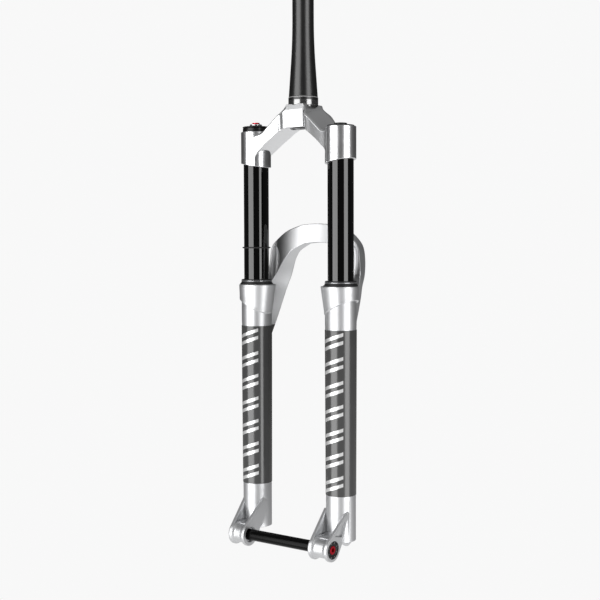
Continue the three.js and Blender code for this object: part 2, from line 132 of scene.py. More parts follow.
class Graph:
    """A material's nodes, ending in one Principled shader."""

    def __init__(self, name: str) -> None:
        """Args:
            name: the material's name.
        """
        self.material = bpy.data.materials.new(name)
        self.material.use_nodes = True
        self.tree = self.material.node_tree
        self.tree.nodes.clear()
        output = self.tree.nodes.new("ShaderNodeOutputMaterial")
        self.shader = self.tree.nodes.new("ShaderNodeBsdfPrincipled")
        self.tree.links.new(self.shader.outputs[0], output.inputs["Surface"])
        where = self.tree.nodes.new("ShaderNodeTexCoord")
        self.position = Wire(self, where.outputs["Object"])

    def put(self, socket: bpy.types.NodeSocket, value: Any) -> None:
        """Links a wire to a socket, or sets the socket's own value.

        Args:
            socket: the input socket.
            value: a wire, a number or a colour.
        """
        if isinstance(value, Wire):
            self.tree.links.new(value.socket, socket)
        else:
            socket.default_value = value

    def node(
        self,
        kind: str,
        settings: dict[str, Any],
        inputs: dict[str | int, Any],
        output: str | int = 0,
    ) -> Wire:
        """Adds one node.

        Args:
            kind: the node's type.
            settings: properties that are set before its sockets.
            inputs: values or links of its sockets, by name or place.
            output: the output that is wanted.

        Returns:
            The wire of that output.
        """
        made = self.tree.nodes.new(kind)
        for key, value in settings.items():
            setattr(made, key, value)
        for key, value in inputs.items():
            self.put(made.inputs[key], value)
        return Wire(self, made.outputs[output])

    def math(self, operation: str, *values: Value) -> Wire:
        """Adds one Math node, and returns its wire."""
        return self.node("ShaderNodeMath", {"operation": operation}, dict(enumerate(values)))

    def axes(self) -> tuple[Wire, Wire, Wire]:
        """Splits the surface's place.

        Returns:
            X, Y and Z in metres.
        """
        split = self.tree.nodes.new("ShaderNodeSeparateXYZ")
        self.put(split.inputs[0], self.position)
        x, y, z = (Wire(self, socket) for socket in split.outputs)
        return x, y, z

    def noise(self, size: float, detail: float = 2.0, stretch: Triple = (1, 1, 1)) -> Wire:
        """Adds cloudy noise.

        Args:
            size: the width of a cloud in millimetres.
            detail: how many finer layers it has.
            stretch: how much finer it is along each axis.

        Returns:
            The noise, round 0.5.
        """
        scaled = self.node(
            "ShaderNodeVectorMath", {"operation": "MULTIPLY"}, {0: self.position, 1: stretch}
        )
        settings = {"noise_dimensions": "3D"}
        values = {"Vector": scaled, "Scale": 1 / (size * MM), "Detail": detail}
        return self.node("ShaderNodeTexNoise", settings, values)

    def mixed(self, share: Value, low: Any, high: Any) -> Wire:
        """Adds a colour mix.

        Args:
            share: 0 for the first colour, 1 for the second.
            low: the first colour.
            high: the second colour.

        Returns:
            The mixed colour.
        """
        settings = {"data_type": "RGBA"}
        return self.node("ShaderNodeMix", settings, {0: share, 6: low, 7: high}, output=2)

    def bump(self, height: Wire, depth: float) -> Wire:
        """Adds a bump.

        Args:
            height: the relief, from 0 to 1.
            depth: its full depth in millimetres.

        Returns:
            The normal.
        """
        values = {"Height": height, "Distance": depth * MM, "Strength": 1.0}
        return self.node("ShaderNodeBump", {}, values)

    def dress(self, **sockets: Any) -> bpy.types.Material:
        """Sets the shader's sockets.

        Args:
            sockets: values or wires by socket name, with _ for a space.

        Returns:
            The finished material.
        """
        for key, value in sockets.items():
            self.put(self.shader.inputs[key.replace("_", " ")], value)
        return self.material


def grey(level: float) -> Colour:
    """Returns a grey of that linear level."""
    return (level, level, level, 1.0)


def shaded(tone: Triple, share: float = 1.0) -> Colour:
    """Returns a tone as a colour, lighter or darker by that share."""
    red, green, blue = tone
    return (share * red, share * green, share * blue, 1.0)


# ------------------------------------------------------------------ finishes


@dataclass(frozen=True)
class MetalFinish:
    """Bare or painted bright metal with fine grain and soft blotches."""

    name: str
    tone: Triple
    roughness: float
    grain: float = 0.9
    depth: float = 0.004
    stretch: Triple = (1, 1, 1)

    def material(self) -> bpy.types.Material:
        """Makes the metal.

        Returns:
            Its material.
        """
        g = Graph(self.name)
        cloud = g.noise(24, 3)
        grain = g.noise(self.grain, 2, self.stretch)
        return g.dress(
            Base_Color=g.mixed(cloud, shaded(self.tone, 0.93), shaded(self.tone)),
            Metallic=1.0,
            Roughness=self.roughness + (cloud - 0.5) * 0.06 + (grain - 0.5) * 0.05,
            Normal=g.bump(grain, self.depth),
        )


@dataclass(frozen=True)
class CastingFinish:
    """Bright silver on the casting, with the dark film carried over the foot of the arch."""

    name: str
    tone: Triple
    film: float
    film_top: float
    film_end: float
    film_front: float = -4.0
    roughness: float = 0.43

    def material(self) -> bpy.types.Material:
        """Makes the casting's paint and film.

        Returns:
            Its material.
        """
        g = Graph(self.name)
        _, y, z = g.axes()
        covered = (z < self.film_top * MM) * (z > self.film_end * MM) * (y > self.film_front * MM)
        cloud = g.noise(26, 3)
        flake = g.noise(0.7, 2)
        silver = g.mixed(cloud, shaded(self.tone, 0.94), shaded(self.tone))
        return g.dress(
            Base_Color=g.mixed(covered, silver, grey(self.film)),
            Metallic=1.0 - covered * 0.9,
            Roughness=self.roughness + (cloud - 0.5) * 0.06 + (flake - 0.5) * 0.06,
            Normal=g.bump(flake, 0.003),
        )


@dataclass(frozen=True)
class GlossFinish:
    """Smooth dark anodising that mirrors the lights, with faint draw lines along one axis."""

    name: str
    level: float
    roughness: float
    stretch: Triple = (1, 1, 0.02)
    depth: float = 0.0006
    mirror: float = 0.95

    def material(self) -> bpy.types.Material:
        """Makes the coating.

        Returns:
            Its material.
        """
        g = Graph(self.name)
        lines = g.noise(1.6, 2, self.stretch)
        haze = g.noise(30, 2)
        return g.dress(
            Base_Color=g.mixed(haze, grey(self.level * 0.8), grey(self.level * 1.2)),
            Specular_IOR_Level=self.mirror,
            Roughness=self.roughness + (haze - 0.5) * 0.03,
            Normal=g.bump(lines, self.depth),
        )


@dataclass(frozen=True)
class SteererFinish:
    """Satin black on the steerer, with a bare band where the race is pressed on and a painted
    highlight line.
    """

    name: str
    level: float
    highlight_z: float
    bare_top: float = 5.5
    highlight_width: float = 1.0
    roughness: float = 0.30

    def material(self) -> bpy.types.Material:
        """Makes the coating, the bare band and the painted highlight line over it.

        Returns:
            Its material.
        """
        g = Graph(self.name)
        _, _, z = g.axes()
        band = z < self.bare_top * MM
        # painted highlight: a thin light grey ring at the seat's top edge
        line = abs(z - self.highlight_z * MM) < self.highlight_width / 2 * MM
        blast = g.noise(0.8, 3)
        cut = g.noise(0.5, 1, (0.02, 0.02, 1))
        haze = g.noise(36, 2)
        coat = g.mixed(haze, grey(self.level * 0.8), grey(self.level * 1.25))
        relief = blast * (1 - band) + cut * band
        return g.dress(
            # the bare band and the painted highlight line share one light grey
            Base_Color=g.mixed(band + line, coat, grey(0.30)),
            Metallic=band * 0.95,
            Specular_IOR_Level=0.85,
            Roughness=self.roughness - band * 0.12 + (haze - 0.5) * 0.06,
            Normal=g.bump(relief, 0.006),
        )


@dataclass(frozen=True)
class FilmFinish:
    """Dark film round a leg, printed with rows of plain slanted silver bars."""

    name: str
    leg: Pair
    top: float
    bottom: float
    level: float
    rows: int = 7
    half_width: float = 15.5
    bar: float = 4.6
    apart: float = 1.1
    lean: float = 0.34
    radius: float = 20.6

    def bars(self, g: Graph) -> Wire:
        """Returns 1 on the silver bars and 0 elsewhere.

        Args:
            g: the graph that gets the nodes.

        Returns:
            The mask.
        """
        x, y, z = g.axes()
        ahead = self.leg[1] * MM - y
        aside = x - self.leg[0] * MM
        around = g.math("ARCTAN2", aside, ahead) * self.radius
        pitch = (self.top - self.bottom) / self.rows
        down = (self.top * MM - z) / MM / pitch
        place = (g.math("FRACT", down) - 0.5) * pitch
        slanted = place + around * self.lean
        first = abs(slanted - self.apart * self.bar) < self.bar / 2
        second = abs(slanted + self.apart * self.bar) < self.bar / 2
        return (first + second) * (abs(around) < self.half_width)

    def material(self) -> bpy.types.Material:
        """Makes the film.

        Returns:
            Its material.
        """
        g = Graph(self.name)
        bars = self.bars(g)
        haze = g.noise(30, 2)
        peel = g.noise(2.2, 2)
        base = g.mixed(haze, grey(self.level * 0.9), grey(self.level * 1.1))
        return g.dress(
            Base_Color=g.mixed(bars, base, grey(0.86)),
            Metallic=bars * 0.75,
            Specular_IOR_Level=0.85,
            Roughness=0.20 + bars * 0.16 + (haze - 0.5) * 0.05,
            Normal=g.bump(peel, 0.002),
        )


@dataclass(frozen=True)
class SoftFinish:
    """Rubber, foam or moulded plastic."""

    name: str
    tone: Triple
    roughness: float
    grain: float
    depth: float

    def material(self) -> bpy.types.Material:
        """Makes the soft surface.

        Returns:
            Its material.
        """
        g = Graph(self.name)
        grain = g.noise(self.grain, 3)
        dust = g.noise(12, 3)
        return g.dress(
            Base_Color=g.mixed(dust, shaded(self.tone), shaded(self.tone, 1.25)),
            Roughness=self.roughness + (dust - 0.5) * 0.12,
            Normal=g.bump(grain, self.depth),
        )


class Finishes:
    """All finishes of the fork, by the record's material slots."""

    def __init__(self) -> None:
        """Makes each material once."""
        silver = (0.66, 0.665, 0.675)
        made = {
            "crown_silver": MetalFinish("crown_bright", (0.80, 0.805, 0.815), 0.30, depth=0.002),
            "casting_silver": CastingFinish("casting_bright", silver, 0.045, -296.5, -330),
            "stanchion_black": GlossFinish("stanchion_gloss", 0.0003, 0.04, mirror=0.88),
            "cap_black": GlossFinish("cap_satin", 0.004, 0.30, (1, 1, 1), 0.004, 0.4),
            "axle_black": GlossFinish("axle_gloss", 0.0006, 0.18, (0.02, 1, 1), mirror=0.12),
            # 9.4 mm up is the painted highlight line at the top edge of the steerer's seat
            "steerer_black": SteererFinish("steerer_satin", 0.004, 9.4),
            "rubber_black": SoftFinish("seal_rubber", (0.005, 0.005, 0.0055), 0.5, 0.6, 0.01),
            "foam_grey": SoftFinish("oiled_foam", (0.05, 0.05, 0.055), 0.95, 0.9, 0.2),
            "plastic_pale": SoftFinish("acetal", (0.66, 0.64, 0.58), 0.5, 0.7, 0.004),
            "red_anodised": MetalFinish("red_anodising", (0.62, 0.012, 0.03), 0.28),
            "steel_bright": MetalFinish("bright_steel", (0.62, 0.63, 0.65), 0.24),
            "alloy_plain": MetalFinish(
                "turned_alloy", (0.66, 0.665, 0.68), 0.32, 0.5, 0.006, (0.05, 0.05, 1)
            ),
            "brass_valve": MetalFinish("valve_brass", (0.72, 0.52, 0.20), 0.28),
            "bushing_bronze": MetalFinish("lined_bronze", (0.36, 0.30, 0.21), 0.42),
        }
        self.by_slot = {slot: finish.material() for slot, finish in made.items()}

    def film(self, side: Side, sizes: "ForkSizes") -> bpy.types.Material:
        """Makes the printed film of one leg.

        Args:
            side: the leg.
            sizes: the fork's sizes.

        Returns:
            Its material.
        """
        leg = (side.value * sizes.leg_x, sizes.leg_y)
        name = f"leg_film_{side.name.lower()}"
        return FilmFinish(name, leg, sizes.film_top, sizes.film_bottom, 0.05).material()


# ------------------------------------------------------------------ mesh work


@dataclass
class Skin:
    """A closed mesh in millimetres, before it becomes a piece."""

    points: list[Vector]
    faces: list[tuple[int, ...]]

    def moved(self, matrix: Matrix) -> "Skin":
        """Returns a copy of it in another place."""
        return Skin([matrix @ p for p in self.points], list(self.faces))

    def at(self, x: float, y: float, z: float = 0.0) -> "Skin":
        """Returns a copy of it, shifted."""
        return self.moved(Matrix.Translation((x, y, z)))

    def along_x(self) -> "Skin":
        """Returns a copy with its Z axis laid along X."""
        return self.moved(Matrix.Rotation(math.pi / 2, 4, "Y"))

    def mirrored(self) -> "Skin":
        """Returns its mirror image across the middle plane."""
        return Skin(flipped(self.points), [tuple(reversed(f)) for f in self.faces])


def flipped(points: Iterable[Vector]) -> list[Vector]:
    """Returns points mirrored across the middle plane."""
    return [Vector((-p.x, p.y, p.z)) for p in points]


def circle(steps: int) -> list[float]:
    """Returns evenly spaced angles of one full turn."""
    return [FULL_TURN * i / steps for i in range(steps)]


def softened(
    before: Vector, corner: Vector, after: Vector, radius: float, steps: int
) -> list[Vector]:
    """Rounds one corner with a smooth curve.

    Args:
        before: the corner before it.
        corner: the corner.
        after: the corner after it.
        radius: how far back the curve starts along each side.
        steps: how many stretches it has.

    Returns:
        The points of the curve, or the corner alone where the radius is 0.
    """
    if radius <= 0:
        return [corner.copy()]
    reach_in = min(radius, (before - corner).length * 0.48)
    reach_out = min(radius, (after - corner).length * 0.48)
    start = corner + (before - corner).normalized() * reach_in
    end = corner + (after - corner).normalized() * reach_out
    curve = []
    for i in range(steps + 1):
        t = i / steps
        curve.append(start * (1 - t) ** 2 + corner * 2 * t * (1 - t) + end * t**2)
    return curve


def rounded(corners: Sequence[Corner], steps: int = 4, closed: bool = True) -> list[Pair]:
    """Rounds the corners of a flat outline.

    Args:
        corners: across, up and radius of each corner.
        steps: stretches in each curve.
        closed: whether the last corner joins the first.

    Returns:
        The outline's points.
    """
    flat = [Vector((a, b, 0)) for a, b, _ in corners]
    outline = []
    for i, (_, _, radius) in enumerate(corners):
        at_end = not closed and i in (0, len(corners) - 1)
        before, after = flat[i - 1], flat[(i + 1) % len(flat)]
        curve = softened(before, flat[i], after, 0 if at_end else radius, steps)
        outline.extend((p.x, p.y) for p in curve)
    return outline


def lofted(rings: Sequence[Sequence[Vector]], looped: bool = False) -> Skin:
    """Joins rings of equally many points into a closed skin.

    Args:
        rings: the rings in order.
        looped: whether the last ring joins the first, in place of two flat ends.

    Returns:
        The skin.
    """
    count = len(rings[0])
    points = [Vector(p) for ring in rings for p in ring]
    faces: list[tuple[int, ...]] = []
    spans = len(rings) if looped else len(rings) - 1
    for r in range(spans):
        near, far = r * count, ((r + 1) % len(rings)) * count
        for i in range(count):
            j = (i + 1) % count
            faces.append((near + i, near + j, far + j, far + i))
    if not looped:
        last = (len(rings) - 1) * count
        faces.append(tuple(reversed(range(count))))
        faces.append(tuple(last + i for i in range(count)))
    return Skin(points, faces)


def turned(outline: Sequence[Pair], segments: int = 96) -> Skin:
    """Turns an outline about Z.

    Args:
        outline: radius and height of each point. It starts and ends on the axis, or closes.
        segments: facets round the axis.

    Returns:
        The turned skin.
    """
    looped = outline[0][0] > 0
    core = outline if looped else outline[1:-1]
    angles = circle(segments)
    rings = [[Vector((r * math.cos(a), r * math.sin(a), z)) for a in angles] for r, z in core]
    return lofted(rings, looped)


def hoop(radius: float, z: float, wire: float, steps: int) -> Skin:
    """Returns a ring of round wire about Z."""
    return turned([(radius + wire * math.cos(a), z + wire * math.sin(a)) for a in circle(steps)])


def gripped(skin: Skin, count: int, start: float, depth: float, fade: float = 0.0) -> Skin:
    """Presses grip scallops into the edge of a skin that is turned about Z.

    Args:
        skin: the skin.
        count: scallops round the edge.
        start: the radius from which they bite.
        depth: how deep they are.
        fade: over how much radius they reach that depth, or 0 for at once.

    Returns:
        The same skin.
    """
    for p in skin.points:
        radius = math.hypot(p.x, p.y)
        if radius > start:
            bite = depth * max(0.0, math.cos(math.atan2(p.y, p.x) * count))
            if fade:
                bite *= (radius - start) / fade
            p.x *= (radius - bite) / radius
            p.y *= (radius - bite) / radius
    return skin


def rod(radius: float, low: float, high: float, bevel: float = 0.4, segments: int = 96) -> Skin:
    """Returns a round bar with rounded ends."""
    corners = [(0, low, 0), (radius, low, bevel), (radius, high, bevel), (0, high, 0)]
    return turned(rounded(corners, closed=False), segments)


def sleeve(outer: float, inner: float, low: float, high: float, bevel: float = 0.3) -> Skin:
    """Returns a round tube with rounded edges."""
    corners = [(outer, low, bevel), (outer, high, bevel), (inner, high, bevel), (inner, low, bevel)]
    return turned(rounded(corners, steps=3))


def inset(outline: Sequence[Pair], depth: float) -> list[Pair]:
    """Moves each side of a closed outline inwards.

    Args:
        outline: points in order, anticlockwise.
        depth: how far inwards.

    Returns:
        The smaller outline.
    """
    smaller = []
    flat = [Vector(p) for p in outline]
    for i, here in enumerate(flat):
        into = (here - flat[i - 1]).normalized()
        out = (flat[(i + 1) % len(flat)] - here).normalized()
        normal = Vector((-into.y - out.y, into.x + out.x))
        if normal.length < 1e-6:
            normal = Vector((-into.y, into.x))
        normal.normalize()
        share = max(0.4, normal.dot(Vector((-into.y, into.x))))
        moved = here + normal * (depth / share)
        smaller.append((moved.x, moved.y))
    return smaller


def plate(outline: Sequence[Pair], from_x: float, to_x: float, bevel: float = 0.6) -> Skin:
    """Makes a plate with eased edges.

    Args:
        outline: Y and Z of its points, anticlockwise as Y runs right and Z up.
        from_x: its inner face.
        to_x: its outer face.
        bevel: how far the edges are eased.

    Returns:
        The plate.
    """
    stations = [(from_x, bevel), (from_x + bevel * 0.3, bevel * 0.3), (from_x + bevel, 0.0)]
    stations += [(to_x - bevel, 0.0), (to_x - bevel * 0.3, bevel * 0.3), (to_x, bevel)]
    rings = [[Vector((x, y, z)) for y, z in inset(outline, depth)] for x, depth in stations]
    return lofted(rings)


def between(a: Vector, b: Vector, c: Vector, d: Vector, t: float) -> Vector:
    """Finds a point on the smooth curve through four points.

    Args:
        a: the point before the stretch.
        b: where the stretch starts.
        c: where it ends.
        d: the point after it.
        t: how far from b to c, from 0 to 1.

    Returns:
        The point.
    """
    return 0.5 * (
        2 * b + (c - a) * t + (2 * a - 5 * b + 4 * c - d) * t**2 + (3 * b - a - 3 * c + d) * t**3
    )


def smoothed(rings: Sequence[Sequence[Triple]], steps: int) -> list[list[Vector]]:
    """Adds rings between rings of corners, on smooth curves.

    Args:
        rings: corners of each station.
        steps: stretches between two stations.

    Returns:
        All rings in order.
    """
    made = [[Vector(p) for p in ring] for ring in rings]
    result = []
    for i in range(len(made) - 1):
        a, b = made[max(i - 1, 0)], made[i]
        c, d = made[i + 1], made[min(i + 2, len(made) - 1)]
        for s in range(steps):
            t = s / steps
            result.append([between(*four, t) for four in zip(a, b, c, d, strict=True)])
    return [*result, made[-1]]


def rounded_ring(corners: Sequence[Vector], radii: Sequence[float], steps: int = 4) -> list[Vector]:
    """Rounds the corners of a ring in space.

    Args:
        corners: the ring's corners.
        radii: the radius of each corner.
        steps: stretches in each curve.

    Returns:
        The ring's points.
    """
    ring = []
    for i, corner in enumerate(corners):
        after = corners[(i + 1) % len(corners)]
        ring.extend(softened(corners[i - 1], corner, after, radii[i], steps))
    return ring


# ------------------------------------------------------------------ pieces


Step = tuple[Join, Skin]
Profile = Callable[[float], float]


class Workshop:
    """Turns skins into pieces: joins, cuts, smooths, dresses and seats them in the frame."""

    def __init__(self, finishes: Finishes) -> None:
        """Args:
            finishes: the fork's finishes.
        """
        self.finishes = finishes

    def rough(self, skin: Skin, name: str = "rough") -> bpy.types.Object:
        """Makes an object of a skin, in millimetres, with its faces pointing out.

        Args:
            skin: the closed mesh.
            name: the object's name.

        Returns:
            The object.
        """
        mesh = bpy.data.meshes.new(name)
        mesh.from_pydata([tuple(p) for p in skin.points], [], skin.faces)
        work = bmesh.new()
        work.from_mesh(mesh)
        bmesh.ops.remove_doubles(work, verts=work.verts, dist=1e-4)
        bmesh.ops.dissolve_degenerate(work, edges=work.edges, dist=1e-5)
        bmesh.ops.recalc_face_normals(work, faces=work.faces)
        if work.calc_volume(signed=True) < 0:
            bmesh.ops.reverse_faces(work, faces=work.faces)
        work.to_mesh(mesh)
        work.free()
        made = bpy.data.objects.new(name, mesh)
        bpy.context.scene.collection.objects.link(made)
        return made

    def combine(self, base: Skin, tools: Iterable[Step], name: str) -> bpy.types.Object:
        """Joins solids to a base and cuts others out of it, in order.

        Args:
            base: the first solid.
            tools: how each next solid meets it, and the solid.
            name: the result's name.

        Returns:
            The combined object, in millimetres.
        """
        made = self.rough(base, name)
        helpers = []
        for how, skin in tools:
            helper = self.rough(skin)
            step = made.modifiers.new(how.name, "BOOLEAN")
            step.operation = how.value
            step.solver = "MANIFOLD"
            step.object = helper
            helpers.append(helper)
        bpy.context.view_layer.update()
        graph = bpy.context.evaluated_depsgraph_get()
        mesh = bpy.data.meshes.new_from_object(made.evaluated_get(graph))
        made.modifiers.clear()
        made.data = mesh
        for helper in helpers:
            bpy.data.objects.remove(helper)
        return made

    def piece(
        self,
        name: str,
        shape: Skin | bpy.types.Object,
        body: str,
        slot: str,
        replaced: Sequence[str] = (),
        material: bpy.types.Material | None = None,
        sharp: float = 32.0,
        bevel: float = 0.0,
    ) -> None:
        """Finishes a piece and seats it in the frame.

        Args:
            name: the piece's name.
            shape: its skin, or its object in millimetres.
            body: the body that it rides on.
            slot: the record's material slot.
            replaced: nodes that it stands for.
            material: its material, if it isn't the slot's.
            sharp: edges that turn by more degrees stay sharp.
            bevel: width of a rounding on sharp edges, in millimetres.
        """
        made = self.rough(shape, name) if isinstance(shape, Skin) else shape
        made.name = name
        made.data.name = name
        made.data.transform(Matrix.Scale(MM, 4))
        made.data.materials.clear()
        made.data.materials.append(material or self.finishes.by_slot[slot])
        made.data.polygons.foreach_set("use_smooth", [True] * len(made.data.polygons))
        if bevel > 0:
            edge = made.modifiers.new("eased_edges", "BEVEL")
            edge.width = bevel * MM
            edge.segments = 2
            edge.limit_method = "ANGLE"
            edge.angle_limit = math.radians(sharp)
            edge.use_clamp_overlap = True
            edge.harden_normals = True
        made.data.set_sharp_from_angle(angle=math.radians(sharp))
        weighted = made.modifiers.new("even_shading", "WEIGHTED_NORMAL")
        weighted.keep_sharp = True
        weighted.weight = 60
        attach(made, body)
        if replaced:
            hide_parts(*replaced)
        LOG.info("%s: %d faces on %s", name, len(made.data.polygons), body)


@dataclass(frozen=True)
class ForkSizes:
    """Sizes that the sub-assemblies share, in millimetres."""

    leg_x: float = 70.0
    leg_y: float = -14.0
    stanchion_r: float = 17.0
    rim_z: float = -240.0
    film_top: float = -296.5
    film_bottom: float = -512.7
    leg_top_r: float = 20.4
    leg_low_r: float = 19.6
    leg_bottom: float = -573.0
    axle_y: float = -50.65
    axle_z: float = -577.5
    axle_r: float = 7.5

    def leg(self, side: Side) -> Pair:
        """Returns X and Y of a leg's axis."""
        return side.value * self.leg_x, self.leg_y


@dataclass
class Assembly:
    """A sub-assembly, with the shop that makes its pieces and the sizes it shares."""

    shop: Workshop
    sizes: ForkSizes


@dataclass
class Steerer(Assembly):
    """The tapered steerer tube, with its race seat and its bore."""

    top: float = 254.99
    straight_r: float = 14.3
    bore_r: float = 11.8
    seat_r: float = 19.9
    seat_low: float = -1.2
    seat_top: float = 9.6
    taper_top: float = 84.0
    foot: float = -30.0
    foot_r: float = 17.5
    foot_bore_r: float = 15.0

    def build(self) -> None:
        """Builds the tube."""
        corners = [
            (self.foot_r, self.foot, 0.6),
            (self.foot_r, self.seat_low, 0.2),
            (self.seat_r, self.seat_low, 0.2),
            (self.seat_r, self.seat_top, 0.5),
            (self.seat_r - 0.5, self.seat_top + 0.5, 0.4),
            (self.straight_r, self.taper_top, 30.0),
            (self.straight_r, self.top, 0.9),
            (self.bore_r, self.top, 0.6),
            (self.bore_r, 78, 2),
            (self.foot_bore_r, 10, 2),
            (self.foot_bore_r, self.foot, 0.6),
        ]
        skin = turned(rounded(corners, steps=6), 128)
        self.shop.piece("steerer", skin, "upper_assembly", "steerer_black", ["steerer_tube"])


@dataclass
class ForkCrown(Assembly):
    """The one-piece fork top: a boss round the steerer, two arms and two stanchion sockets."""

    socket_r: float = 20.3
    socket_top: float = -33.4
    socket_bottom: float = -78.5
    slant: float = 3.5
    neck_r: float = 17.8
    # Distance from the middle, then [y, z] of front top chamfer, front top edge, front bottom
    # edge, rear bottom edge, rear edge and rear ridge of an arm's section.
    sections: Sequence[tuple[float, Sequence[Pair]]] = (
        (14, ((-19.6, 0), (-21.6, -8), (-21, -31), (16, -31), (26.3, -10), (24, 0))),
        (17, ((-20, -5), (-22.4, -10), (-21.2, -32), (15.3, -31.8), (26, -10.2), (20, -2.8))),
        (19.6, ((-21.8, -8.4), (-24, -12), (-22.6, -33.6),
                (14.5, -33.4), (25.6, -10.6), (17.5, -4.8))),
        (21.6, ((-24.4, -11.8), (-26.2, -14.6), (-24.6, -35.2),
                (13.9, -34.8), (25.3, -11), (16, -6.6))),
        (22.6, ((-26.8, -13.6), (-28.3, -16), (-26.4, -36.2),
                (13.6, -35.3), (25.2, -11.2), (15.4, -7.2))),
        (31, ((-27.3, -21), (-28.9, -23.3), (-27.2, -42.2), (10, -43), (22.5, -16), (14, -14.6))),
        (40, ((-28, -28.8), (-29.6, -31.2), (-28.6, -48.8),
              (6.5, -51), (18, -23.8), (11.6, -23.5))),
        (47.8, ((-28.8, -35.6), (-30.4, -38), (-29.6, -55.4),
                (3.5, -58.5), (12.3, -30.6), (7.4, -31.5))),
        (56.8, ((-30, -38.4), (-31.5, -41), (-30.8, -64.5), (-1, -68), (5, -38), (0, -38))),
        (58.6, ((-30.6, -39), (-31.9, -41.6), (-31.9, -79.6), (-12, -79.6), (2, -39), (-3, -39))),
        (62, ((-31.4, -39.2), (-32.6, -41.8), (-32.6, -79.2),
              (-13, -79.2), (0, -39.5), (-5, -39.5))),
        (70, ((-33.1, -39.6), (-34.15, -42), (-34.15, -78.3), (-14, -78.3), (-8, -42), (-12, -42))),
    )

    def arms(self) -> Skin:
        """Lofts both arms and the boss between them.

        Returns:
            The loft.
        """
        half = [[(x, y, z) for y, z in ring] for x, ring in self.sections]
        fine = smoothed(half, 5)
        radii = (0.7, 0.7, 1.2, 2.0, 2.5, 2.0)
        right = [rounded_ring(ring, radii) for ring in fine]
        return lofted([*(flipped(ring) for ring in reversed(right)), *right])

    def socket(self) -> Skin:
        """Makes the left leg's socket, whose lower rim slants inboard.

        Returns:
            The socket, without its bore.
        """
        outline = rounded(
            [
                (0, self.socket_bottom, 0),
                (self.socket_r, self.socket_bottom, 0.7),
                (self.socket_r, self.socket_top, 1.1),
                (0, self.socket_top, 0),
            ],
            closed=False,
        )
        skin = turned(outline, 128)
        for p in skin.points:
            low = p.z < (self.socket_bottom + self.socket_top) / 2
            p.z += self.slant * p.x / self.socket_r if low else 0.0
        return skin.at(*self.sizes.leg(Side.AIR))

    def build(self) -> None:
        """Builds the piece."""
        bore = rod(self.sizes.stanchion_r + 0.3, -100, 0, 0.1).at(*self.sizes.leg(Side.AIR))
        neck = rod(self.neck_r, -60, 20, 0.1)
        seat = rod(20.2, -1.5, 20, 0.1)
        one = self.socket()
        steps = [(Join.ADD, one), (Join.ADD, one.mirrored())]
        steps += [(Join.CUT, tool) for tool in (bore, bore.mirrored(), neck, seat)]
        made = self.shop.combine(self.arms(), steps, "fork_top")
        node = "fork_crown"
        self.shop.piece("fork_top", made, "upper_assembly", "crown_silver", [node], bevel=0.5)


@dataclass
class Stanchion(Assembly):
    """One black stanchion tube."""

    side: Side
    bore_r: float = 15.3
    top: float = -34.6
    bottom: float = -388.0

    def build(self) -> None:
        """Builds the tube."""
        name = self.side.name.lower()
        skin = sleeve(self.sizes.stanchion_r, self.bore_r, self.bottom, self.top, 0.5)
        skin = skin.at(*self.sizes.leg(self.side))
        node = f"{name}_stanchion"
        self.shop.piece(f"{name}_tube", skin, "upper_assembly", "stanchion_black", [node])


